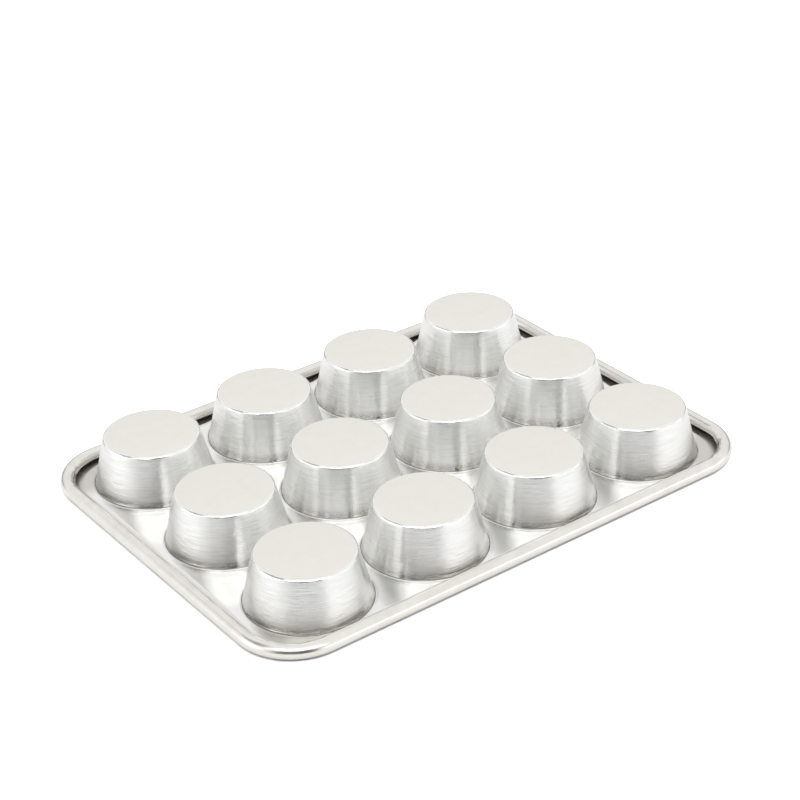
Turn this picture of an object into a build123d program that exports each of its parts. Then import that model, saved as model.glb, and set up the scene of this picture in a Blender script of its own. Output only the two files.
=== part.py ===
from build123d import *
import math
import os

# Muffin pan for twelve cakes, laid face down as it is stored: the cup bottoms look up (+Z), and
# the rolled rim rests on the table at z = 0.  +X runs along the long side, and the origin is the
# middle of the footprint on the table.  All sizes are in millimetres and all angles in degrees.

# Height from the table to the outside of the cup bottoms
pan_height = 34.0

# Cups in rows along X, with the flat strips that part their lips from each other and the rim
cup_columns = 4
cup_rows = 3
column_gap = 5.3
row_gap = 6.4
end_gap = 7.25
side_gap = 2.75

# One drawn cup: its neck stands in a hole of the sheet, below a shoulder that the wall flares to
cup_thickness = 0.7
neck_radius = 37.2
shoulder_height = 0.55
shoulder_inner_radius = 0.5
flare_angle = 30.0
flare_radius = 5.5
flare_straight = 0.28
wall_angle = 13.2
bottom_inner_radius = 1.1
flange_width = 1.8
flange_bend_radius = 0.15

# Frame sheet: its deck is set back from the rim band, so that the flanges lie above the table
sheet_thickness = 0.8
flange_recess = 1.15
slope_run = 6.0
band_width = 3.6
crease_radius = 2.0
crease_corner_radius = 23.8

# Lip that the deck turns up round each cup, and the level seat kept for the cup's flange
lip_clearance = 0.2
lip_height = 0.4
lip_edge_share = 0.375
seat_clearance = 0.3
seat_edge_share = 0.5
seat_wall_overlap = 0.2

# Rolled rim: the sheet's edge is curled round a steel wire, whose two ends meet in one long side
wire_diameter = 7.2
wire_clearance = 0.2
wire_joint_gap = 0.8
curl_gap = 3.4

# Sizes that follow for the sheet, the lips and the seats
deck_setback = cup_thickness + flange_recess
deck_top = deck_setback + sheet_thickness
hole_radius = neck_radius + lip_clearance
lip_outer_radius = hole_radius + sheet_thickness
lip_top = deck_top + lip_height
seat_radius = neck_radius + flange_width + seat_clearance

# Sizes that follow for the rim
bead_radius = wire_diameter / 2 + wire_clearance + sheet_thickness
crease_inset = bead_radius + band_width + slope_run
outer_corner_radius = crease_corner_radius + crease_inset

# Sizes that follow for the whole pan
column_pitch = 2 * lip_outer_radius + column_gap
row_pitch = 2 * lip_outer_radius + row_gap
pan_length = cup_columns * column_pitch - column_gap + 2 * (end_gap + 2 * bead_radius)
pan_width = cup_rows * row_pitch - row_gap + 2 * (side_gap + 2 * bead_radius)
straight_length = pan_length - 2 * outer_corner_radius
straight_width = pan_width - 2 * outer_corner_radius


def parallel_path(points, distance):
    """Return the corners of the path that runs beside an open path, on its right for distance > 0."""
    sides = []
    for start, end in zip(points, points[1:]):
        run = (end - start).normalized()
        shift = Vector(run.Y, -run.X) * distance
        sides.append((start + shift, end + shift, run))
    corners = [sides[0][0]]
    for before, after in zip(sides, sides[1:]):
        gap = after[0] - before[0]
        turn = before[2].X * after[2].Y - before[2].Y * after[2].X
        along = (gap.X * after[2].Y - gap.Y * after[2].X) / turn
        corners.append(before[0] + before[2] * along)
    corners.append(sides[-1][1])
    return corners


def underside_corners():
    """Return the corners of the sheet's underside, from a corner's axis out to the curl."""
    return [
        Vector(0, deck_setback),
        Vector(crease_corner_radius, deck_setback),
        Vector(crease_corner_radius + slope_run, 0),
        Vector(outer_corner_radius - bead_radius, 0),
    ]


def underside(corners):
    """Return the line of the sheet's underside, with its creases rounded."""
    return FilletPolyline(*corners, radius=[crease_radius, crease_radius + sheet_thickness])


def sheet_section():
    """Return the frame sheet's section, from a corner's axis out to the free edge of the curl."""
    curl_middle = Vector(outer_corner_radius - bead_radius, bead_radius)
    under = underside_corners()
    over = parallel_path(under, -sheet_thickness)
    free_edge_drop = (bead_radius - sheet_thickness - curl_gap) / bead_radius
    wrap_angle = 270 + math.degrees(math.asin(free_edge_drop))
    lower = underside(under)
    upper = FilletPolyline(*over, radius=[crease_radius + sheet_thickness, crease_radius])
    outer_curl = CenterArc(curl_middle, bead_radius, -90, wrap_angle)
    inner_curl = CenterArc(curl_middle, bead_radius - sheet_thickness, -90, wrap_angle)
    free_edge = Line(outer_curl @ 1, inner_curl @ 1)
    closing = Line(lower @ 0, upper @ 0)
    return make_face([*lower.edges(), *upper.edges(), outer_curl, inner_curl, free_edge, closing])


def bank_section():
    """Return the section between the sheet's underside and a level just inside the deck's metal."""
    lower = underside(underside_corners())
    level = deck_setback + seat_wall_overlap
    outer_end = lower @ 1
    upper = Polyline(outer_end, (outer_end.X, level), (0, level), lower @ 0)
    return make_face([*lower.edges(), *upper.edges()])


def wire_section():
    """Return the round section of the rim wire, in the middle of the curl."""
    return Pos(outer_corner_radius - bead_radius, bead_radius) * Circle(wire_diameter / 2)


def round_the_rim(section):
    """Return the corners and straight runs that carry a section round the pan's edge."""
    upright = Plane.XZ * section
    half_length = straight_length / 2
    half_width = straight_width / 2
    corner_places = [
        (half_length, half_width),
        (-half_length, half_width),
        (-half_length, -half_width),
        (half_length, -half_width),
    ]
    corner = revolve(upright, Axis.Z, 90)
    end_run = extrude(upright, straight_width, dir=(0, -1, 0))
    side_run = extrude(upright, straight_length, dir=(0, -1, 0))
    pieces = []
    for step, (x, y) in enumerate(corner_places):
        run = end_run if step % 2 == 0 else side_run
        place = Pos(x, y) * Rot(Z=step * 90)
        pieces.append(place * corner)
        pieces.append(place * run)
    return pieces


def cup_places():
    """Return the number of each cup's row and column, with the place of its axis."""
    places = []
    for row in range(cup_rows):
        for column in range(cup_columns):
            x = (column - (cup_columns - 1) / 2) * column_pitch
            y = (row - (cup_rows - 1) / 2) * row_pitch
            places.append((row + 1, column + 1, Pos(x, y)))
    return places


def deck(places):
    """Return the sheet's level middle, with the seats that bulge past it beside the outer cups."""
    seats = [place * Circle(seat_radius + sheet_thickness) for place in places]
    outline = Rectangle(straight_length, straight_width) + seats
    plate = extrude(Pos(0, 0, deck_setback) * outline, sheet_thickness)
    seat_edges = plate.edges().filter_by(GeomType.CIRCLE).group_by(Axis.Z)[-1]
    return fillet(seat_edges, seat_edge_share * sheet_thickness)


def seat_walls(places):
    """Return the metal that carries the bulging edges of the seats down to the slope."""
    bank = Part() + round_the_rim(bank_section())
    seat = extrude(Circle(seat_radius + sheet_thickness), deck_top)
    outer_places = [place for place in places if abs(place.position.Y) > row_pitch / 2]
    return [bank & (place * seat) for place in outer_places]


def lip():
    """Return the low ring that the deck turns up round one cup, rooted in the deck."""
    root = lip_outer_radius + sheet_thickness
    outline = Polyline(
        (hole_radius, deck_setback),
        (hole_radius, lip_top),
        (lip_outer_radius, lip_top),
        (lip_outer_radius, deck_top),
        (root, deck_top),
        (root, deck_setback),
        close=True,
    )
    edge_radius = lip_edge_share * min(2 * lip_height, sheet_thickness)
    top_corners = make_face(outline).vertices().filter_by_position(Axis.Y, lip_top, lip_top)
    section = fillet(top_corners, edge_radius)
    return revolve(Plane.XZ * section, Axis.Z, 360)


def frame_sheet():
    """Return the sheet with its curled rim and a lipped hole for each cup."""
    places = [place for _, _, place in cup_places()]
    flange_room = extrude(Circle(seat_radius), deck_setback)
    hole = extrude(Circle(lip_outer_radius), lip_top)
    sheet = deck(places) + round_the_rim(sheet_section()) + seat_walls(places)
    sheet = sheet - [place * flange_room for place in places]
    sheet = sheet - [place * hole for place in places]
    return sheet + [place * lip() for place in places]


def rim_wire():
    """Return the wire inside the curl, open by a narrow joint in the middle of one long side."""
    loop = Part() + round_the_rim(wire_section())
    joint_middle = pan_width / 2 - bead_radius
    joint = Pos(0, joint_middle, bead_radius) * Box(wire_joint_gap, 2 * wire_diameter, 2 * wire_diameter)
    return loop - joint


def cup():
    """Return one drawn cup on the Z axis, from its closed bottom down to the flange at its mouth."""
    shoulder_radius = shoulder_inner_radius + cup_thickness
    flare = math.radians(flare_angle)
    wall = math.radians(wall_angle)
    flare_length = flare_radius * math.tan((flare - wall) / 2) + shoulder_radius * math.tan(flare / 2)
    flare_length += flare_straight
    shoulder = Vector(neck_radius, deck_top + shoulder_height)
    flare_top = shoulder + Vector(-math.sin(flare), math.cos(flare)) * flare_length
    bottom_radius = flare_top.X - (pan_height - flare_top.Y) * math.tan(wall)
    outside = [
        Vector(0, pan_height),
        Vector(bottom_radius, pan_height),
        flare_top,
        shoulder,
        Vector(neck_radius, deck_setback),
        Vector(neck_radius + flange_width, deck_setback),
    ]
    inside = parallel_path(outside, cup_thickness)
    outer_radii = [
        bottom_inner_radius + cup_thickness,
        flare_radius,
        shoulder_radius,
        flange_bend_radius,
    ]
    inner_radii = [
        bottom_inner_radius,
        flare_radius + cup_thickness,
        shoulder_inner_radius,
        flange_bend_radius + cup_thickness,
    ]
    outer = FilletPolyline(*outside, radius=outer_radii)
    inner = FilletPolyline(*inside, radius=inner_radii)
    axis_side = Line(outer @ 0, inner @ 0)
    flange_edge = Line(outer @ 1, inner @ 1)
    section = make_face([*outer.edges(), *inner.edges(), axis_side, flange_edge])
    return revolve(Plane.XZ * section, Axis.Z, 360)


os.makedirs("parts", exist_ok=True)
export_step(frame_sheet(), "parts/frame_sheet.step")
export_step(rim_wire(), "parts/rim_wire.step")
one_cup = cup()
for row, column, place in cup_places():
    export_step(place * one_cup, f"parts/cup_r{row}_c{column}.step")
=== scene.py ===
"""Looks of a muffin pan of bare aluminium, laid face down on a white table.

The cup bottoms look up.  Everything is in metres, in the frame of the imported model: the rim rests
on the table at z = 0, +X runs along the long side and +Z up through the cup bottoms.
"""

import logging
import math
from dataclasses import dataclass, field
from enum import Enum
from typing import Callable, Iterable, Optional

import bmesh
import bpy
from bmesh.types import BMEdge, BMVert
from bpy.types import Material, Mesh, Node, NodeSocket, NodeTree, Object
from mathutils import Matrix, Vector, noise


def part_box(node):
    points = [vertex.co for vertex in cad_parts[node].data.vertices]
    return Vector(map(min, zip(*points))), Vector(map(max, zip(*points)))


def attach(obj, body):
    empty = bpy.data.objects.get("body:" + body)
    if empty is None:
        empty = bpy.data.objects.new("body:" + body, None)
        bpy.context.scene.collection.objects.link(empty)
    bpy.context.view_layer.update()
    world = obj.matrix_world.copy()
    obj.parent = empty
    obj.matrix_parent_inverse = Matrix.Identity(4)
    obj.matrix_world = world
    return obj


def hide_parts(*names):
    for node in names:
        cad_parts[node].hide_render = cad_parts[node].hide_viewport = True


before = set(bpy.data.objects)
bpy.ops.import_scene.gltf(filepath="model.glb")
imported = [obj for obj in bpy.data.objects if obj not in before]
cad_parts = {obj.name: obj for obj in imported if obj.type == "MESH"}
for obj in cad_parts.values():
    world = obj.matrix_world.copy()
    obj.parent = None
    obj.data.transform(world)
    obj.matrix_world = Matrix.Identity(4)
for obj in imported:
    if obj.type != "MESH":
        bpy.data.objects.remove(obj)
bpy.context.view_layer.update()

log = logging.getLogger("muffin_pan")

MM = 0.001
BODY = "root"
# Attribute that marks where the sheet is painted darker: painted shade, and darker corners
DARKENING = "darkening"

# Distance within which two places or two lengths count as the same
NEAR = 0.05 * MM

# Largest angle between two faces over which the shading stays smooth
SMOOTH_ANGLE = math.radians(38)

# A noise pattern's values lie mostly between these
NOISE_SPAN = {"From Min": 0.3, "From Max": 0.7}

# Numbers of a Mix node's sockets, for colours and for plain values
SHARE = 0
COLOUR_A, COLOUR_B, COLOUR_MIX = 6, 7, 2
VALUE_A, VALUE_B, VALUE_MIX = 2, 3, 0


# Helpers

def linear(hex_colour: str) -> tuple[float, float, float, float]:
    """Turn an sRGB hex colour into a linear colour, by the curve of the sRGB standard.

    Args:
        hex_colour: The colour as six hex digits, such as "E8E6E1".

    Returns:
        Red, green and blue as linear shares, and an alpha of one.
    """
    shares = [int(hex_colour[place:place + 2], 16) / 255 for place in (0, 2, 4)]
    red, green, blue = (s / 12.92 if s <= 0.04045 else ((s + 0.055) / 1.055) ** 2.4 for s in shares)
    return red, green, blue, 1.0


def add_node(tree: NodeTree, kind: str, settings: Optional[dict] = None,
             links: Optional[dict] = None) -> Node:
    """Add a shader node with its settings and its incoming links.

    Args:
        tree: The node tree that gets the node.
        kind: The node's type name, after its first word ShaderNode.
        settings: Values by the name or number of an input, or else by a property of the node.
        links: Output sockets by the name or the number of the input that each feeds.

    Returns:
        The new node.
    """
    node = tree.nodes.new(f"ShaderNode{kind}")
    for name, value in (settings or {}).items():
        if isinstance(name, int) or name in node.inputs:
            node.inputs[name].default_value = value
        else:
            setattr(node, name, value)
    for name, socket in (links or {}).items():
        tree.links.new(socket, node.inputs[name])
    return node


def new_material(name: str) -> tuple[Material, NodeTree]:
    """Return a new material and its empty node tree.

    Args:
        name: The material's name.

    Returns:
        The material, and its node tree with no nodes.
    """
    material = bpy.data.materials.new(name)
    material.use_nodes = True
    material.node_tree.nodes.clear()
    return material, material.node_tree


def select_only(piece: Object) -> None:
    """Make a piece the active object and the only one that is selected."""
    bpy.ops.object.select_all(action="DESELECT")
    piece.select_set(True)
    bpy.context.view_layer.objects.active = piece


def apply_place() -> None:
    """Take the places and turns of the selected objects into their meshes."""
    bpy.ops.object.transform_apply(location=True, rotation=True, scale=True)


class Part(Enum):
    """Kinds of mesh element that a selection picks."""

    POINTS = "verts"
    EDGES = "edges"
    FACES = "faces"


def pick(part: Part, wanted: Callable[[object], bool]) -> None:
    """Select, in edit mode, the elements of the active mesh that a test accepts.

    Args:
        part: The kind of element.
        wanted: Says of one element whether it is selected.
    """
    bpy.context.tool_settings.mesh_select_mode = tuple(kind is part for kind in Part)
    bpy.ops.mesh.select_all(action="DESELECT")
    mesh = bpy.context.active_object.data
    cage = bmesh.from_edit_mesh(mesh)
    for element in getattr(cage, part.value):
        if wanted(element):
            element.select_set(True)
    cage.select_flush_mode()
    bmesh.update_edit_mesh(mesh)


def on_ring(edge: BMEdge, radius: float, height: float) -> bool:
    """Say whether an edge lies on a level ring round the Z axis."""
    return all(abs(point.co.xy.length - radius) < NEAR and abs(point.co.z - height) < NEAR
               for point in edge.verts)


def add_ring(points: int, radius: float, centre: Iterable[float],
             turn: Iterable[float] = (0, 0, 0)) -> Object:
    """Add a ring of edges and open edit mode on it.

    Args:
        points: How many points the ring has.
        radius: Its radius.
        centre: Its centre.
        turn: Its turn about each axis from lying level, in radians.

    Returns:
        The object that holds the ring.
    """
    bpy.ops.object.select_all(action="DESELECT")
    bpy.ops.mesh.primitive_circle_add(vertices=points, radius=radius, location=centre, rotation=turn)
    apply_place()
    bpy.ops.object.mode_set(mode="EDIT")
    return bpy.context.active_object


def raise_rings(points: int, rings: list[tuple[float, float]]) -> Object:
    """Model a shell as rings round the Z axis, and leave edit mode open with the last selected.

    Args:
        points: How many points each ring has.
        rings: Radius and height of each ring in turn.

    Returns:
        The object that holds the shell.
    """
    radius, height = rings[0]
    shell = add_ring(points, radius, (0, 0, height))
    pick(Part.EDGES, lambda edge: True)
    for next_radius, next_height in rings[1:]:
        rise = (0, 0, next_height - height)
        bpy.ops.mesh.extrude_edges_move(TRANSFORM_OT_translate={"value": rise})
        share = next_radius / radius
        bpy.ops.transform.resize(value=(share, share, 1), center_override=(0, 0, 0))
        radius, height = next_radius, next_height
    return shell


def copy_to(master: Object, axis: Vector, turn: float = 0.0) -> Object:
    """Copy a piece from the Z axis to another upright axis.

    Args:
        master: The piece.
        axis: The foot of the other axis.
        turn: How far the copy is turned round it, in radians.

    Returns:
        The copy, with a mesh of its own.
    """
    select_only(master)
    bpy.ops.object.duplicate(linked=False)
    bpy.ops.transform.rotate(value=turn, orient_axis="Z", center_override=(0, 0, 0))
    bpy.ops.transform.translate(value=(axis.x, axis.y, 0))
    apply_place()
    return bpy.context.active_object


def apply_modifier(piece: Object, kind: str, **settings: object) -> None:
    """Add a modifier to a piece and apply it.

    Args:
        piece: The piece.
        kind: The modifier's type name.
        settings: The modifier's properties.
    """
    select_only(piece)
    modifier = piece.modifiers.new(kind.title(), kind)
    for name, value in settings.items():
        setattr(modifier, name, value)
    bpy.ops.object.modifier_apply(modifier=modifier.name)


def smooth_step(value: float, low: float, high: float) -> float:
    """Return 0 below low, 1 above high, and a smooth passage between them."""
    share = min(max((value - low) / (high - low), 0.0), 1.0)
    return share * share * (3 - 2 * share)


def soft_excess(value: float, softness: float) -> float:
    """Return about the value where it is above zero and about zero below, with a soft bend."""
    return (value + math.hypot(value, softness)) / 2


# Finishes

@dataclass(frozen=True)
class Pattern:
    """Irregular marks in a metal's face, by their size along X, Y and Z and their depth."""

    size: tuple[float, float, float]
    detail: float
    fineness: float
    depth: float = 0.0
    distortion: float = 0.0

    def add(self, tree: NodeTree, place: NodeSocket) -> NodeSocket:
        """Add the pattern's nodes.

        Args:
            tree: The node tree that gets them.
            place: Object coordinates.

        Returns:
            The strength of the marks.
        """
        scaled = add_node(tree, "Mapping", {"Scale": tuple(1 / side for side in self.size)},
                          {"Vector": place}).outputs["Vector"]
        return add_node(tree, "TexNoise", {
            "Scale": 1.0, "Detail": self.detail, "Roughness": self.fineness,
            "Distortion": self.distortion}, {"Vector": scaled}).outputs["Fac"]


@dataclass(frozen=True)
class BurnishedWall:
    """Drawn aluminium, burnished round the wall with a tool while the cup spins.

    The tool leaves fine rings, some of them duller, so reflections stretch up and down the wall
    into soft bands.  It presses harder on the edge of the bottom and on the flare, which are left
    smoother.  Drawing has crinkled the wall a little, and shade is painted round its foot.
    """

    name: str = "drawn_aluminium_burnished"
    colour: str = "F6F6F4"
    shade_colour: str = "EBEBE8"
    # Colour of the shade painted round the wall's foot
    darkening_colour: str = "A5A39D"
    roughness: float = 0.32
    roughness_spread: float = 0.07
    edge_roughness: float = 0.13
    edge_height: float = 32.9 * MM
    edge_softness: float = 0.5 * MM
    flare_roughness: float = 0.15
    flare_height: float = 5.5 * MM
    flare_softness: float = 2.75 * MM
    anisotropy: float = 0.88
    crinkles: Pattern = Pattern((7.0 * MM, 7.0 * MM, 2.0 * MM), 2.0, 0.5, 0.26 * MM, 0.3)
    # Rings are drawn at about the width of a pixel: the real ones are finer still
    rings: Pattern = Pattern((16.0 * MM, 16.0 * MM, 0.6 * MM), 1.0, 0.5, 0.12 * MM, 0.2)
    dull_from: float = 0.45
    dull_to: float = 0.75
    # Painted shade round the foot: full at the lower height and below, gone by the higher
    foot_shade_share: float = 0.55
    foot_shade_low: float = 3.0 * MM
    foot_shade_high: float = 10.0 * MM

    def material(self) -> Material:
        """Return the wall's material."""
        material, tree = new_material(self.name)
        place = add_node(tree, "TexCoord").outputs["Object"]
        height = add_node(tree, "SeparateXYZ", None, {"Vector": place}).outputs["Z"]
        rings = self.rings.add(tree, place)
        crinkles = self.crinkles.add(tree, place)
        dull = add_node(tree, "MapRange", {"From Min": self.dull_from, "From Max": self.dull_to},
                        {"Value": rings}).outputs["Result"]
        ringed = add_node(tree, "Mix", {
            "data_type": "RGBA", COLOUR_A: linear(self.colour), COLOUR_B: linear(self.shade_colour)},
            {SHARE: dull}).outputs[COLOUR_MIX]
        # Painted shade: darker towards the foot, where the wall meets the deck
        darkening = add_node(tree, "MapRange", {
            "interpolation_type": "SMOOTHSTEP", "From Min": self.foot_shade_low,
            "From Max": self.foot_shade_high, "To Min": self.foot_shade_share, "To Max": 0.0},
            {"Value": height}).outputs["Result"]
        colour = add_node(tree, "Mix", {"data_type": "RGBA", COLOUR_B: linear(self.darkening_colour)},
                          {SHARE: darkening, COLOUR_A: ringed}).outputs[COLOUR_MIX]
        low = add_node(tree, "MapRange", {
            "interpolation_type": "SMOOTHSTEP",
            "From Min": self.flare_height - self.flare_softness,
            "From Max": self.flare_height + self.flare_softness,
            "To Min": self.flare_roughness, "To Max": self.roughness},
            {"Value": height}).outputs["Result"]
        pressed = add_node(tree, "MapRange", {
            "From Min": self.edge_height - self.edge_softness,
            "From Max": self.edge_height + self.edge_softness,
            "To Max": self.edge_roughness}, {"Value": height, "To Min": low}).outputs["Result"]
        spread = add_node(tree, "MapRange", {
            **NOISE_SPAN, "To Min": 1 - self.roughness_spread, "To Max": 1 + self.roughness_spread},
            {"Value": rings}).outputs["Result"]
        roughness = add_node(tree, "Math", {"operation": "MULTIPLY"},
                             {0: pressed, 1: spread}).outputs["Value"]
        crinkled = add_node(tree, "Bump", {"Strength": 1.0, "Distance": self.crinkles.depth},
                            {"Height": crinkles}).outputs["Normal"]
        normal = add_node(tree, "Bump", {"Strength": 1.0, "Distance": self.rings.depth},
                          {"Height": rings, "Normal": crinkled}).outputs["Normal"]
        # The tangent runs round the axis: a quarter turn sets the stretch up and down the wall
        tangent = add_node(tree, "Tangent", {"direction_type": "RADIAL", "axis": "Z"})
        shader = add_node(tree, "BsdfPrincipled", {
            "Metallic": 1.0, "Anisotropic": self.anisotropy, "Anisotropic Rotation": 0.25},
            {"Base Color": colour, "Roughness": roughness, "Normal": normal,
             "Tangent": tangent.outputs["Tangent"]})
        add_node(tree, "OutputMaterial", None, {"Surface": shader.outputs["BSDF"]})
        return material


@dataclass(frozen=True)
class BareMetal:
    """A metal whose shade follows the first of its patterns, and whose gloss follows one of them.

    Where the piece is marked for darkening, which paints shade and darker corners, the metal takes
    the darkening colour, and the darkening roughness where it has one.
    """

    name: str
    colour: str
    shade_colour: str
    low_roughness: float
    high_roughness: float
    patterns: tuple[Pattern, ...]
    gloss_pattern: int = -1
    darkening_colour: Optional[str] = None
    darkening_roughness: Optional[float] = None

    def material(self) -> Material:
        """Return the finish's material."""
        material, tree = new_material(self.name)
        place = add_node(tree, "TexCoord").outputs["Object"]
        marks = [pattern.add(tree, place) for pattern in self.patterns]
        colour = add_node(tree, "Mix", {
            "data_type": "RGBA", COLOUR_A: linear(self.colour), COLOUR_B: linear(self.shade_colour)},
            {SHARE: marks[0]}).outputs[COLOUR_MIX]
        roughness = add_node(tree, "MapRange", {
            **NOISE_SPAN, "To Min": self.low_roughness, "To Max": self.high_roughness},
            {"Value": marks[self.gloss_pattern]}).outputs["Result"]
        # Painted shade, and darker corners, where the piece is marked for them
        if self.darkening_colour:
            darkening = add_node(tree, "Attribute", {"attribute_name": DARKENING}).outputs["Fac"]
            colour = add_node(tree, "Mix", {
                "data_type": "RGBA", COLOUR_B: linear(self.darkening_colour)},
                {SHARE: darkening, COLOUR_A: colour}).outputs[COLOUR_MIX]
            if self.darkening_roughness:
                roughness = add_node(tree, "Mix", {
                    "data_type": "FLOAT", VALUE_B: self.darkening_roughness},
                    {SHARE: darkening, VALUE_A: roughness}).outputs[VALUE_MIX]
        relief = {}
        for pattern, height in zip(self.patterns, marks):
            if pattern.depth > 0:
                pressed = add_node(tree, "Bump", {"Strength": 1.0, "Distance": pattern.depth},
                                   {"Height": height, **relief})
                relief = {"Normal": pressed.outputs["Normal"]}
        shader = add_node(tree, "BsdfPrincipled", {"Metallic": 1.0},
                          {"Base Color": colour, "Roughness": roughness, **relief})
        add_node(tree, "OutputMaterial", None, {"Surface": shader.outputs["BSDF"]})
        return material


@dataclass(frozen=True)
class EtchedBottom(BareMetal):
    """Drawn aluminium, left matte and cream by caustic etching and years of oven heat."""

    name: str = "drawn_aluminium_etched"
    colour: str = "F6F4EF"
    shade_colour: str = "F0EEE8"
    low_roughness: float = 0.55
    high_roughness: float = 0.65
    # Mottling, and grain that is drawn wider than a pixel, as the real one is too fine to show
    patterns: tuple[Pattern, ...] = (
        Pattern((9.0 * MM, 9.0 * MM, 9.0 * MM), 4.0, 0.6),
        Pattern((0.9 * MM, 0.9 * MM, 0.9 * MM), 2.0, 0.5, 0.006 * MM),
    )
    gloss_pattern: int = 0


@dataclass(frozen=True)
class RolledSheet(BareMetal):
    """Rolled aluminium sheet: bright, with a faint grain along the rolling direction.

    The slope beside the rolled rim carries painted shade from the curl, and the deck's corners are
    darker; both are duller there.
    """

    name: str = "rolled_aluminium_sheet"
    colour: str = "F7F7F6"
    shade_colour: str = "EFEEEC"
    low_roughness: float = 0.12
    high_roughness: float = 0.19
    # Slight waves, and the rolls' grain, drawn wider than a pixel, as the real one is too fine
    patterns: tuple[Pattern, ...] = (
        Pattern((38.0 * MM, 38.0 * MM, 38.0 * MM), 1.0, 0.4, 0.07 * MM),
        Pattern((45.0 * MM, 0.8 * MM, 0.8 * MM), 3.0, 0.55, 0.0016 * MM),
    )
    # Painted shade in the slope under the curl, and the deck's darker corners
    darkening_colour: str = "C9C6BE"
    darkening_roughness: float = 0.5


@dataclass(frozen=True)
class BurnishedCurl(BareMetal):
    """The sheet's edge where it is rolled round the wire, smoothed by the rollers.

    It is slightly dented and scratched, and shade is painted on its lower side at the table.
    """

    name: str = "rolled_aluminium_burnished"
    colour: str = "F3F1ED"
    shade_colour: str = "E1DED7"
    low_roughness: float = 0.16
    high_roughness: float = 0.26
    # Dents, and scratches that are drawn two pixels wide, as the real ones are too fine to show
    patterns: tuple[Pattern, ...] = (
        Pattern((9.0 * MM, 9.0 * MM, 9.0 * MM), 2.0, 0.5, 0.02 * MM),
        Pattern((1.2 * MM, 1.2 * MM, 1.2 * MM), 3.0, 0.6, 0.0015 * MM),
    )
    # Painted shade on the curl's lower side, beside the table
    darkening_colour: str = "66635D"


@dataclass(frozen=True)
class DrawnSteel(BareMetal):
    """Drawn steel wire: grey, with scratches from the die, drawn wide enough to show."""

    name: str = "drawn_steel_wire"
    colour: str = "9C9A96"
    shade_colour: str = "74726E"
    low_roughness: float = 0.445
    high_roughness: float = 0.505
    patterns: tuple[Pattern, ...] = (Pattern((0.7 * MM, 0.7 * MM, 0.7 * MM), 3.0, 0.6),)


# Frame sheet

class SheetFace(Enum):
    """Places of the sheet's finishes among its material slots."""

    SHEET = 0
    CURL = 1


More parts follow.
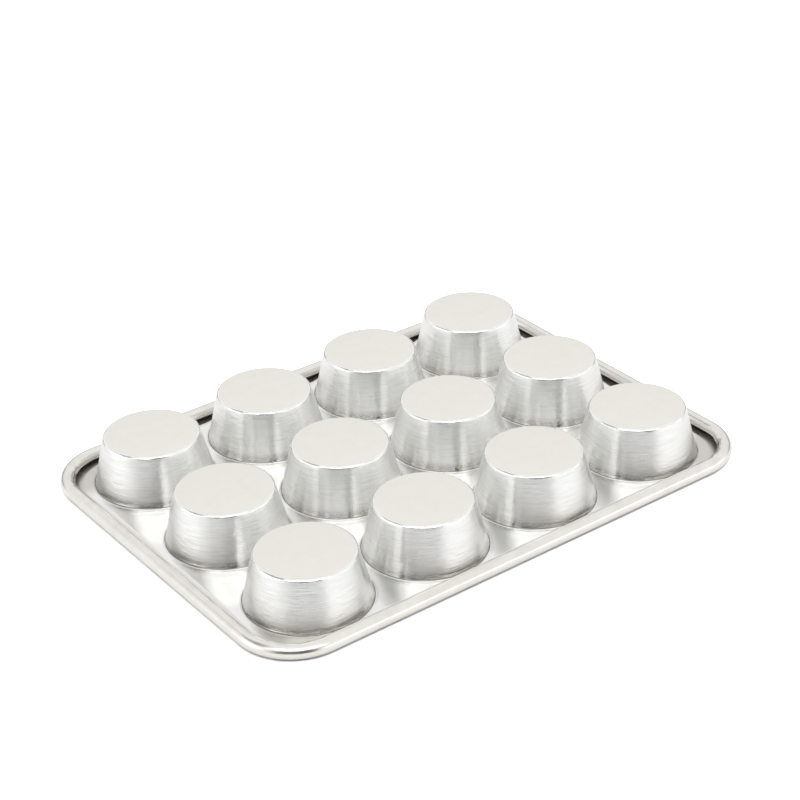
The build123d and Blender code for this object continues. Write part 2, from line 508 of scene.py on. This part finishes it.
@dataclass
class FrameSheet:
    """The sheet with its rolled rim, its level deck and a low lip round each cup.

    It is modelled as its table-side face, which is then given its thickness.
    """

    cup_axes: list[Vector]
    low: Vector
    high: Vector
    sheet_finish: Material
    curl_finish: Material
    thickness: float = 0.8 * MM
    deck_setback: float = 1.85 * MM
    corner_radius: float = 38.0 * MM
    bead_radius: float = 4.6 * MM
    curl_margin: float = 0.5 * MM
    band_width: float = 3.6 * MM
    slope_run: float = 6.0 * MM
    level_margin: float = 0.8 * MM
    hole_radius: float = 37.4 * MM
    lip_height: float = 1.2 * MM
    lip_bend_radius: float = 0.9 * MM
    lip_edge_radius: float = 0.36 * MM
    seat_radius: float = 39.7 * MM
    seat_room: float = 0.5 * MM
    seat_softness: float = 1.0 * MM
    crease_bevel: float = 0.4 * MM

    # How finely the mesh is parted, and how sharp its cut edges are at least, in degrees
    curl_points: int = 60
    curl_gap_points: int = 13
    lip_points: int = 96
    lip_bend_faces: int = 4
    edge_faces: int = 3
    corner_steps: int = 40
    run_spacing: float = 3.2 * MM
    cut_angle: float = 60.0

    # Wrinkles: where they start and are full, past the corners' start and round the curl from its
    # top inwards in degrees, and where they fade out again
    wrinkle_height: float = 0.4 * MM
    wrinkle_length: float = 5.0 * MM
    wrinkle_corner: tuple[float, float] = (-6.0 * MM, 5.0 * MM)
    wrinkle_rise: tuple[float, float] = (-45.0, 60.0)
    wrinkle_fall: tuple[float, float] = (150.0, 165.0)
    wrinkle_seed: tuple[float, float] = (7.0, 3.0)
    fine_wrinkle_share: float = 0.5
    fine_wrinkle_ratio: float = 1.9

    # Unevenness of the lips, which starts just above the deck
    lip_foot: float = 0.08 * MM
    lip_wave_length: float = 6.0 * MM
    lip_wave_height: float = 0.12 * MM
    lip_wave_width: float = 0.08 * MM
    lip_wave_bias: float = 0.2
    lip_seed_ratio: float = 50.0

    # Painted shade and darker corners: where the shade in the slope ends past the crease and below the
    # deck's top, where the darker corners start and are full past the corners' start, and where the
    # curl's lower side has painted shade
    slope_shade_end: tuple[float, float] = (-1.0 * MM, 0.5 * MM)
    slope_shade_depth: float = 0.5 * MM
    dark_corner_span: tuple[float, float] = (-10.0 * MM, 6.0 * MM)
    corner_share: float = 0.7
    curl_shade_height: tuple[float, float] = (1.38 * MM, 2.76 * MM)
    curl_shade_inset: tuple[float, float] = (4.14 * MM, 5.06 * MM)

    @property
    def half_length(self) -> float:
        """Half of the pan's length."""
        return (self.high.x - self.low.x) / 2

    @property
    def half_width(self) -> float:
        """Half of the pan's width."""
        return (self.high.y - self.low.y) / 2

    @property
    def curl_inset(self) -> float:
        """Distance from the pan's edge that is just past the curl."""
        return 2 * self.bead_radius + self.curl_margin

    @property
    def band_inset(self) -> float:
        """Distance from the pan's edge to the inner side of the flat rim band."""
        return self.bead_radius + self.band_width

    @property
    def crease_inset(self) -> float:
        """Distance from the pan's edge to the crease where the level deck begins."""
        return self.band_inset + self.slope_run

    @property
    def level_inset(self) -> float:
        """Distance from the pan's edge to the inner side of the swept strip."""
        return self.crease_inset + 2 * self.level_margin

    @property
    def deck_top(self) -> float:
        """Height of the deck's upper face."""
        return self.deck_setback + self.thickness

    @property
    def lip_top(self) -> float:
        """Height of the lips' upper end."""
        return self.deck_setback + self.lip_height

    def past_corner(self, place: Vector) -> tuple[float, float]:
        """Return how far out a place is from the level of the corners' centres, along X and Y."""
        return (abs(place.x) - (self.half_length - self.corner_radius),
                abs(place.y) - (self.half_width - self.corner_radius))

    def inset(self, place: Vector) -> tuple[float, Vector]:
        """Find how far inside the pan's edge a place is.

        Args:
            place: The place.

        Returns:
            The distance from the edge, and the level direction that leads inwards.
        """
        across, along = self.past_corner(place)
        sides = (math.copysign(1, place.x), math.copysign(1, place.y))
        if across > 0 and along > 0:
            reach = math.hypot(across, along)
            return self.corner_radius - reach, Vector((-sides[0] * across, -sides[1] * along, 0)) / reach
        if across > along:
            return self.corner_radius - across, Vector((-sides[0], 0, 0))
        return self.corner_radius - along, Vector((0, -sides[1], 0))

    def nearest_axis(self, place: Vector) -> Vector:
        """Return the axis of the cup that is nearest to a place."""
        return min(self.cup_axes, key=lambda axis: (axis.xy - place.xy).length)

    def add_section(self) -> Object:
        """Add the strip's section in the middle of the front long side, and open edit mode.

        Returns:
            The object that holds the section.
        """
        middle = Vector((0, -self.half_width + self.bead_radius, self.bead_radius))
        strip = add_ring(self.curl_points, self.bead_radius, middle, (0, math.pi / 2, 0))
        step = math.tau / self.curl_points

        def past_bottom(point: BMVert) -> float:
            """Return the angle from the curl's lowest point, inwards, in steps."""
            return math.atan2(point.co.y - middle.y, middle.z - point.co.z) / step

        pick(Part.POINTS, lambda point: 0.5 < past_bottom(point) < self.curl_gap_points + 0.5)
        bpy.ops.mesh.delete(type="VERT")
        pick(Part.POINTS, lambda point: abs(past_bottom(point)) < 0.5)
        moves = [(self.band_width, 0.0), (self.slope_run, self.deck_setback),
                 (self.level_margin, 0.0), (self.level_margin, 0.0)]
        for inwards, upwards in moves:
            bpy.ops.mesh.extrude_vertices_move(TRANSFORM_OT_translate={"value": (0, inwards, upwards)})
        return strip

    def sweep_section(self) -> None:
        """Carry the section once round the pan's edge, by turns of a run and a corner."""
        long_run = 2 * (self.half_length - self.corner_radius)
        short_run = 2 * (self.half_width - self.corner_radius)
        across = long_run / 2
        along = short_run / 2
        route = [
            ((long_run / 2, 0), (across, -along)),
            ((0, short_run), (across, along)),
            ((-long_run, 0), (-across, along)),
            ((0, -short_run), (-across, -along)),
        ]
        pick(Part.EDGES, lambda edge: True)
        for (east, north), centre in route:
            bpy.ops.mesh.extrude_edges_move(TRANSFORM_OT_translate={"value": (east, north, 0)})
            bpy.ops.mesh.spin(steps=self.corner_steps, angle=-math.pi / 2, center=(*centre, 0),
                              axis=(0, 0, 1))
        bpy.ops.mesh.extrude_edges_move(TRANSFORM_OT_translate={"value": (long_run / 2, 0, 0)})
        bpy.ops.mesh.select_all(action="SELECT")
        bpy.ops.mesh.remove_doubles(threshold=NEAR)
        for run in (long_run / 2, short_run, long_run):
            pick(Part.EDGES, lambda edge: abs(edge.calc_length() - run) < NEAR)
            bpy.ops.mesh.subdivide(number_cuts=round(run / self.run_spacing) - 1)

    def round_creases(self) -> None:
        """Soften the two creases of the slope."""
        for crease, height in ((self.band_inset, 0.0), (self.crease_inset, self.deck_setback)):
            def on_crease(edge: BMEdge) -> bool:
                """Say whether an edge lies along this crease."""
                return all(abs(point.co.z - height) < NEAR
                           and abs(self.inset(point.co)[0] - crease) < NEAR for point in edge.verts)
            pick(Part.EDGES, on_crease)
            bpy.ops.mesh.bevel(offset=self.crease_bevel, segments=self.edge_faces, affect="EDGES")

    def bulge_seats(self) -> None:
        """Push the crease outwards round the outer cups, so that their seats stay level."""
        clear_radius = self.seat_radius + self.seat_room
        cage = bmesh.from_edit_mesh(bpy.context.active_object.data)
        for point in cage.verts:
            inset, inwards = self.inset(point.co)
            share = (inset - self.band_inset) / (self.level_inset - self.band_inset)
            if share <= 0 or point.co.z > self.deck_top:
                continue
            edge = point.co + inwards * (self.level_inset - inset)
            away = edge.xy - self.nearest_axis(edge).xy
            push = soft_excess(clear_radius - away.length, self.seat_softness)
            point.co.xy += away.normalized() * push * min(share, 1.0)
        bmesh.update_edit_mesh(bpy.context.active_object.data)

    def make_lip(self) -> Object:
        """Return one lip on the Z axis: a level ring whose inner edge is turned up.

        Returns:
            The lip's object.
        """
        lip = raise_rings(self.lip_points, [
            (self.seat_radius, self.deck_setback),
            (self.seat_radius - self.seat_room / 2, self.deck_setback),
            (self.hole_radius, self.deck_setback),
            (self.hole_radius, self.lip_top),
        ])
        pick(Part.EDGES, lambda edge: on_ring(edge, self.hole_radius, self.deck_setback))
        bpy.ops.mesh.bevel(offset=self.lip_bend_radius, segments=self.lip_bend_faces, affect="EDGES")
        bpy.ops.object.mode_set(mode="OBJECT")
        return lip

    def add_lips(self, strip: Object) -> None:
        """Copy the lip to every cup, join the lips to the strip and fill the deck between them.

        Args:
            strip: The swept strip.
        """
        master = self.make_lip()
        lips = [copy_to(master, axis) for axis in self.cup_axes]
        bpy.data.objects.remove(master)
        select_only(strip)
        for lip in lips:
            lip.select_set(True)
        bpy.ops.object.join()
        bpy.ops.object.mode_set(mode="EDIT")
        pick(Part.EDGES, lambda edge: edge.is_boundary and all(
            abs(point.co.z - self.deck_setback) < NEAR for point in edge.verts))
        bpy.ops.mesh.fill(use_beauty=True)
        bpy.ops.mesh.select_all(action="SELECT")
        bpy.ops.mesh.normals_make_consistent(inside=False)
        cage = bmesh.from_edit_mesh(strip.data)
        widest = max(cage.faces, key=lambda face: face.calc_area())
        if widest.normal.z > 0:
            bpy.ops.mesh.flip_normals()
        bpy.ops.object.mode_set(mode="OBJECT")

    def round_cut_edges(self) -> None:
        """Round both edges of every lip's upper end, and of the curl's free edge."""
        def on_cut_edge(edge: BMEdge) -> bool:
            """Say whether an edge bounds the cut face of the sheet."""
            if len(edge.link_faces) != 2 or edge.calc_face_angle() < math.radians(self.cut_angle):
                return False
            on_lip = all(abs(point.co.z - self.lip_top) < NEAR for point in edge.verts)
            return on_lip or self.inset(edge.verts[0].co)[0] < self.curl_inset

        bpy.ops.object.mode_set(mode="EDIT")
        pick(Part.EDGES, on_cut_edge)
        bpy.ops.mesh.bevel(offset=self.lip_edge_radius, segments=self.edge_faces, affect="EDGES")
        bpy.ops.object.mode_set(mode="OBJECT")

    def wear_in(self, mesh: Mesh) -> None:
        """Give the curl its wrinkles at the corners, and the lips their unevenness.

        Args:
            mesh: The sheet's mesh.
        """
        for point in mesh.vertices:
            inset, inwards = self.inset(point.co)
            corner = min(self.past_corner(point.co))
            arm_in = inset - self.bead_radius
            arm_up = point.co.z - self.bead_radius
            reach = math.hypot(arm_in, arm_up)
            if reach < self.bead_radius + NEAR and corner > self.wrinkle_corner[0]:
                turn = math.degrees(math.atan2(arm_in, arm_up))
                window = smooth_step(corner, *self.wrinkle_corner)
                window *= smooth_step(turn, *self.wrinkle_rise)
                window *= 1 - smooth_step(turn, *self.wrinkle_fall)
                seed = Vector((math.copysign(self.wrinkle_seed[0], point.co.x),
                               math.copysign(self.wrinkle_seed[1], point.co.y), 0.0))
                route = Vector((point.co.x, point.co.y, 0)) / self.wrinkle_length
                wrinkle = noise.noise(route + seed)
                wrinkle += self.fine_wrinkle_share * noise.noise(self.fine_wrinkle_ratio * route - seed)
                lift = self.wrinkle_height * window * wrinkle
                point.co += (inwards * arm_in + Vector((0, 0, arm_up))) / reach * lift
            elif inset > self.curl_inset and point.co.z > self.deck_top + self.lip_foot:
                axis = self.nearest_axis(point.co)
                route = point.co / self.lip_wave_length
                rise = smooth_step(point.co.z, self.deck_top, self.lip_top)
                point.co.z += self.lip_wave_height * noise.noise(route) * rise
                away = Vector((point.co.x - axis.x, point.co.y - axis.y, 0)).normalized()
                bend = noise.noise(route + axis * self.lip_seed_ratio) + self.lip_wave_bias
                point.co += away * self.lip_wave_width * bend * rise

    def dress(self, strip: Object) -> None:
        """Give the sheet its finishes, and mark where it is painted darker.

        Painted shade lies in the slope, under the curl, and on the curl's lower side, beside the
        table, and the deck's corners are darker too.

        Args:
            strip: The sheet.
        """
        strip.data.materials.append(self.sheet_finish)
        strip.data.materials.append(self.curl_finish)
        for face in strip.data.polygons:
            inset = self.inset(face.center)[0]
            over_band = face.center.z > self.bead_radius and inset < self.curl_inset
            if inset < self.bead_radius or over_band:
                face.material_index = SheetFace.CURL.value
        # Mark of the darkening: painted shade, and darker corners
        darkening = strip.data.attributes.new(DARKENING, "FLOAT", "POINT")
        for point in strip.data.vertices:
            height = point.co.z
            inset = self.inset(point.co)[0]
            # Painted shade in the slope under the curl
            in_slope = smooth_step(inset, self.bead_radius, 2 * self.bead_radius)
            in_slope *= 1 - smooth_step(inset - self.crease_inset, *self.slope_shade_end)
            in_slope *= 1 - smooth_step(height, self.deck_top - self.slope_shade_depth, self.deck_top)
            # Painted shade on the curl's lower side, beside the table
            on_curl = 1 - smooth_step(height, *self.curl_shade_height)
            on_curl *= 1 - smooth_step(inset, *self.curl_shade_inset)
            # The deck's corners, darker
            in_corner = smooth_step(min(self.past_corner(point.co)), *self.dark_corner_span)
            in_corner *= self.corner_share * smooth_step(inset, self.band_inset, self.crease_inset)
            darkening.data[point.index].value = max(in_slope, on_curl, in_corner)

    def build(self) -> Object:
        """Model the sheet.

        Returns:
            The finished piece.
        """
        strip = self.add_section()
        self.sweep_section()
        self.round_creases()
        self.bulge_seats()
        bpy.ops.object.mode_set(mode="OBJECT")
        self.add_lips(strip)
        apply_modifier(strip, "SOLIDIFY", thickness=self.thickness, offset=-1.0, use_even_offset=True)
        self.round_cut_edges()
        self.wear_in(strip.data)
        self.dress(strip)
        strip.name = "frame_sheet_rolled"
        select_only(strip)
        bpy.ops.object.shade_smooth_by_angle(angle=SMOOTH_ANGLE)
        return strip


# Cups

class CupFace(Enum):
    """Places of the cup's finishes among its material slots."""

    WALL = 0
    BOTTOM = 1


@dataclass
class DrawnCup:
    """One drawn cup, modelled on the Z axis as its outside, which is then given its thickness."""

    flange_radius: float
    flange_height: float
    top: float
    wall_finish: Material
    bottom_finish: Material
    thickness: float = 0.7 * MM
    neck_radius: float = 37.2 * MM
    neck_height: float = 1.35 * MM
    flare_angle: float = 30.0
    flare_radius: float = 5.5 * MM
    flare_length: float = 1.41 * MM
    shoulder_radius: float = 1.2 * MM
    wall_angle: float = 13.2
    bottom_edge_radius: float = 1.8 * MM
    bottom_centre_radius: float = 6.0 * MM
    level_share: float = 0.99

    # How finely the mesh is parted
    round_points: int = 128
    bottom_edge_faces: int = 7
    flare_faces: int = 8
    shoulder_faces: int = 5
    wall_rows: int = 16

    # Dents: where they start and are full above the flange, and how far below the top they fade
    dent_size: float = 17.0 * MM
    dent_depth: float = 0.16 * MM
    dent_rise: tuple[float, float] = (2.7 * MM, 8.0 * MM)
    dent_fade: float = 4.0 * MM

    # Turn from one copy to the next, in degrees, which never brings the same dents round again
    copy_turn: float = 137.5

    @property
    def stations(self) -> list[tuple[float, float]]:
        """Radius and height of the outside's corners, from the flange's edge to the bottom."""
        flare = math.radians(self.flare_angle)
        shoulder = (self.neck_radius, self.flange_height + self.neck_height)
        flare_top = (shoulder[0] - math.sin(flare) * self.flare_length,
                     shoulder[1] + math.cos(flare) * self.flare_length)
        wall = math.radians(self.wall_angle)
        bottom_radius = flare_top[0] - (self.top - flare_top[1]) * math.tan(wall)
        return [
            (self.flange_radius, self.flange_height),
            (self.neck_radius, self.flange_height),
            shoulder,
            flare_top,
            (bottom_radius, self.top),
            (self.bottom_centre_radius, self.top),
        ]

    def raise_shell(self) -> Object:
        """Raise the outside station by station, close its bottom and leave edit mode open.

        Returns:
            The object that holds the shell.
        """
        shell = raise_rings(self.round_points, self.stations)
        bpy.ops.mesh.edge_face_add()
        bpy.ops.mesh.select_all(action="SELECT")
        bpy.ops.mesh.normals_make_consistent(inside=False)
        cage = bmesh.from_edit_mesh(shell.data)
        if max(cage.faces, key=lambda face: face.calc_center_median().z).normal.z < 0:
            bpy.ops.mesh.flip_normals()
        return shell

    def round_corners(self) -> None:
        """Round the shell's corners, and part the wall into rows."""
        _, _, shoulder, flare_top, bottom_edge, _ = self.stations
        bends = [
            (bottom_edge, self.bottom_edge_radius, 90 - self.wall_angle, self.bottom_edge_faces),
            (flare_top, self.flare_radius, self.flare_angle - self.wall_angle, self.flare_faces),
            (shoulder, self.shoulder_radius, self.flare_angle, self.shoulder_faces),
        ]
        for ring, radius, turn, faces in bends:
            pick(Part.EDGES, lambda edge: on_ring(edge, *ring))
            bpy.ops.mesh.bevel(offset=radius * math.tan(math.radians(turn) / 2), segments=faces,
                               affect="EDGES")
        pick(Part.EDGES, lambda edge: abs(edge.verts[0].co.z - edge.verts[1].co.z) > self.top / 2)
        bpy.ops.mesh.subdivide(number_cuts=self.wall_rows - 1)
        bpy.ops.object.mode_set(mode="OBJECT")

    def dent_wall(self, shell: Object) -> None:
        """Give the wall the slight dents of use.

        Args:
            shell: The cup's outside.
        """
        group = shell.vertex_groups.new(name="wall")
        for point in shell.data.vertices:
            low = smooth_step(point.co.z - self.flange_height, *self.dent_rise)
            high = 1 - smooth_step(point.co.z, self.top - self.dent_fade, self.top)
            group.add([point.index], low * high, "REPLACE")
        pattern = bpy.data.textures.new("wall_dents", "CLOUDS")
        pattern.noise_scale = self.dent_size
        pattern.noise_depth = 1
        apply_modifier(shell, "DISPLACE", texture=pattern, texture_coords="LOCAL",
                       strength=self.dent_depth, mid_level=0.5, vertex_group=group.name)

    def build_master(self) -> Object:
        """Model the cup on the Z axis.

        Returns:
            The cup that the others are copied from.
        """
        shell = self.raise_shell()
        self.round_corners()
        self.dent_wall(shell)
        apply_modifier(shell, "SOLIDIFY", thickness=self.thickness, offset=-1.0, use_even_offset=True)
        shell.data.materials.append(self.wall_finish)
        shell.data.materials.append(self.bottom_finish)
        for face in shell.data.polygons:
            if face.center.z > self.top - NEAR and face.normal.z > self.level_share:
                face.material_index = CupFace.BOTTOM.value
        select_only(shell)
        bpy.ops.object.shade_smooth_by_angle(angle=SMOOTH_ANGLE)
        return shell

    def place_copies(self, nodes: Iterable[str], axes: Iterable[Vector]) -> list[Object]:
        """Set a copy of the cup at each node's place, each turned to show other dents.

        Args:
            nodes: Names of the CAD nodes.
            axes: Places of their axes.

        Returns:
            The placed cups.
        """
        master = self.build_master()
        cups = []
        for count, (node, axis) in enumerate(zip(nodes, axes)):
            cup = copy_to(master, axis, math.radians(self.copy_turn * count))
            cup.name = f"{node}_drawn"
            cups.append(cup)
        bpy.data.objects.remove(master)
        return cups


# Studio

@dataclass(frozen=True)
class Panel:
    """One part of the room that surrounds the table, by its direction in degrees.

    The azimuth is counted from straight behind the pan, as the camera sees it, to the right.
    """

    name: str
    radiance: float
    azimuth: float = 0.0
    half_width: float = 360.0
    side_softness: float = 10.0
    low: float = -90.0
    high: float = 90.0
    end_softness: float = 6.0

    def add(self, tree: NodeTree, azimuth: NodeSocket, elevation: NodeSocket,
            behind: NodeSocket) -> NodeSocket:
        """Lay the panel over what is behind it.

        Args:
            tree: The world's node tree.
            azimuth: Azimuth of the direction looked in, in radians.
            elevation: Its elevation, in radians.
            behind: Light from what is behind the panel.

        Returns:
            Light from the panel and from what is behind it.
        """
        shifted = add_node(tree, "Math", {"operation": "SUBTRACT", 1: math.radians(self.azimuth)},
                           {0: azimuth}).outputs["Value"]
        turned = add_node(tree, "Math", {"operation": "WRAP", 1: math.pi, 2: -math.pi},
                          {0: shifted}).outputs["Value"]
        off_middle = add_node(tree, "Math", {"operation": "ABSOLUTE"}, {0: turned}).outputs["Value"]
        windows = [
            self.window(tree, off_middle, self.half_width, self.side_softness, falls=True),
            self.window(tree, elevation, self.low, self.end_softness, falls=False),
            self.window(tree, elevation, self.high, self.end_softness, falls=True),
        ]
        cover = windows[0]
        for window in windows[1:]:
            cover = add_node(tree, "Math", {"operation": "MULTIPLY"},
                             {0: cover, 1: window}).outputs["Value"]
        light = (self.radiance, self.radiance, self.radiance, 1.0)
        return add_node(tree, "Mix", {"data_type": "RGBA", COLOUR_B: light},
                        {SHARE: cover, COLOUR_A: behind}).outputs[COLOUR_MIX]

    @staticmethod
    def window(tree: NodeTree, angle: NodeSocket, edge: float, softness: float,
               falls: bool) -> NodeSocket:
        """Return a share that passes between 0 and 1 at an edge of the panel.

        Args:
            tree: The world's node tree.
            angle: The angle, in radians.
            edge: Where the edge is, in degrees.
            softness: How far the passage reaches to each side of it, in degrees.
            falls: Whether the share is 1 below the edge, rather than above it.

        Returns:
            The share.
        """
        ends = (1.0, 0.0) if falls else (0.0, 1.0)
        return add_node(tree, "MapRange", {
            "interpolation_type": "SMOOTHSTEP", "From Min": math.radians(edge - softness),
            "From Max": math.radians(edge + softness), "To Min": ends[0], "To Max": ends[1]},
            {"Value": angle}).outputs["Result"]


@dataclass
class Studio:
    """White table, the room round it and the camera at the photograph's angle."""

    target: Vector = field(default_factory=lambda: Vector((16.4 * MM, 16.7 * MM, 34.0 * MM)))
    distance: float = 1269.3 * MM
    azimuth: float = -35.32
    elevation: float = 29.68
    roll: float = -2.57
    lens: float = 92.51
    sensor_width: float = 36.0
    clip_start: float = 10.0 * MM
    table_size: float = 3000.0 * MM
    table_colour: str = "E4E4E4"
    camera_exposure: float = 2.75
    mirror_exposure: float = 1.3
    room_radiance: float = 0.96
    panels: tuple[Panel, ...] = (
        Panel("wall behind the pan", 0.92, 0.0, 38.0, 14.0, low=-100.0, high=36.0, end_softness=8.0),
        Panel("doorway behind the pan", 0.4, 0.0, 58.0, 8.0, low=-3.0, high=14.0, end_softness=5.0),
        Panel("window on the left", 1.5, -103.0, 22.0, 10.0, low=-1.0, high=38.0),
        Panel("ceiling on the left", 0.4, -82.0, 32.0, 9.0, low=43.0, high=68.0),
        Panel("window on the right", 1.45, 112.0, 38.0, 12.0, low=-2.0, high=20.0, end_softness=8.0),
        Panel("lamp overhead", 1.0, low=67.0, high=100.0),
        Panel("lamp above the camera", 2.3, 180.0, 55.0, 14.0, low=43.0, high=70.0),
        Panel("room behind the camera", 0.17, 180.0, 36.0, 14.0, low=-5.0, high=40.0),
        Panel("doorway behind the camera", 0.12, 167.0, 9.0, 6.0, low=-5.0, high=40.0),
        Panel("skirting round the room", 0.3, low=-20.0, high=1.0, end_softness=2.0),
    )

    def camera(self) -> None:
        """Add the camera."""
        azimuth, elevation, roll = (math.radians(v) for v in (self.azimuth, self.elevation, self.roll))
        back = Vector((math.sin(azimuth) * math.cos(elevation), -math.cos(azimuth) * math.cos(elevation),
                       math.sin(elevation)))
        level_right = Vector((math.cos(azimuth), math.sin(azimuth), 0))
        level_up = back.cross(level_right)
        right = level_right * math.cos(roll) + level_up * math.sin(roll)
        up = back.cross(right)
        data = bpy.data.cameras.new("camera")
        data.lens = self.lens
        data.sensor_width = self.sensor_width
        data.clip_start = self.clip_start
        camera = bpy.data.objects.new("camera", data)
        turn = Matrix((right, up, back)).transposed()
        camera.matrix_world = Matrix.Translation(self.target + back * self.distance) @ turn.to_4x4()
        bpy.context.scene.collection.objects.link(camera)
        bpy.context.scene.camera = camera

    def table(self) -> None:
        """Add the white table."""
        bpy.ops.object.select_all(action="DESELECT")
        bpy.ops.mesh.primitive_plane_add(size=self.table_size, location=(0, 0, 0))
        table = bpy.context.active_object
        table.name = "table"
        material, tree = new_material("white_painted_board")
        rays = add_node(tree, "LightPath").outputs
        # The white background: the camera and the metal see brighter paint, and the light does not
        mirrored = add_node(tree, "Math", {"operation": "MAXIMUM"}, {
            0: rays["Is Glossy Ray"], 1: rays["Is Transmission Ray"]}).outputs["Value"]
        in_metal = add_node(tree, "Mix", {
            "data_type": "FLOAT", VALUE_A: 1.0, VALUE_B: self.mirror_exposure},
            {SHARE: mirrored}).outputs[VALUE_MIX]
        exposure = add_node(tree, "Mix", {"data_type": "FLOAT", VALUE_B: self.camera_exposure},
                            {SHARE: rays["Is Camera Ray"], VALUE_A: in_metal}).outputs[VALUE_MIX]
        colour = add_node(tree, "VectorMath", {"operation": "SCALE", 0: linear(self.table_colour)[:3]},
                          {"Scale": exposure}).outputs["Vector"]
        paint = add_node(tree, "BsdfDiffuse", None, {"Color": colour})
        add_node(tree, "OutputMaterial", None, {"Surface": paint.outputs[0]})
        table.data.materials.append(material)

    def world(self) -> None:
        """Surround the table with the room, which the camera sees as plain white."""
        world = bpy.data.worlds.new("white_room")
        bpy.context.scene.world = world
        world.use_nodes = True
        tree = world.node_tree
        tree.nodes.clear()
        direction = add_node(tree, "TexCoord").outputs["Generated"]
        # Turned so that +Y leads straight back from the camera and +X to its right
        turned = add_node(tree, "Mapping", {"Rotation": (0, 0, -math.radians(self.azimuth))},
                          {"Vector": direction}).outputs["Vector"]
        parts = add_node(tree, "SeparateXYZ", None, {"Vector": turned}).outputs
        azimuth = add_node(tree, "Math", {"operation": "ARCTAN2"},
                           {0: parts["X"], 1: parts["Y"]}).outputs["Value"]
        elevation = add_node(tree, "Math", {"operation": "ARCSINE"}, {0: parts["Z"]}).outputs["Value"]
        # The room's plain level, which the panels are laid over
        grey = (self.room_radiance, self.room_radiance, self.room_radiance, 1.0)
        room = add_node(tree, "Mix", {"data_type": "RGBA", SHARE: 0.0, COLOUR_A: grey}).outputs[COLOUR_MIX]
        for panel in self.panels:
            room = panel.add(tree, azimuth, elevation, room)
        lit = add_node(tree, "Background", {"Strength": 1.0}, {"Color": room})
        white = add_node(tree, "Background", {"Color": (1, 1, 1, 1), "Strength": 1.0})
        rays = add_node(tree, "LightPath").outputs
        shader = add_node(tree, "MixShader", None, {
            0: rays["Is Camera Ray"], 1: lit.outputs[0], 2: white.outputs[0]})
        add_node(tree, "OutputWorld", None, {"Surface": shader.outputs[0]})


def main() -> None:
    """Build the pan's pieces in order, then the studio."""
    logging.basicConfig(level=logging.INFO)
    nodes = sorted(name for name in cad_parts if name.startswith("cup_"))
    boxes = {name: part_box(name) for name in nodes}
    axes = [(low + high) / 2 for low, high in boxes.values()]
    axes = [Vector((axis.x, axis.y, 0)) for axis in axes]

    bpy.context.scene.view_settings.view_transform = "Standard"
    studio = Studio()
    studio.camera()
    studio.table()
    studio.world()

    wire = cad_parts["rim_wire"]
    wire.data.materials.clear()
    wire.data.materials.append(DrawnSteel().material())
    log.info("rim_wire: drawn steel")

    low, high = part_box("frame_sheet")
    sheet = FrameSheet(axes, low, high, RolledSheet().material(), BurnishedCurl().material()).build()
    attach(sheet, BODY)
    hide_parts("frame_sheet")
    log.info("%s: %d faces", sheet.name, len(sheet.data.polygons))

    low, high = boxes[nodes[0]]
    cup = DrawnCup((high.x - low.x) / 2, FrameSheet.deck_setback, high.z, BurnishedWall().material(),
                   EtchedBottom().material())
    for node, piece in zip(nodes, cup.place_copies(nodes, axes)):
        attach(piece, BODY)
        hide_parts(node)
        log.info("%s: %d faces", piece.name, len(piece.data.polygons))


if __name__ == "__main__":
    main()
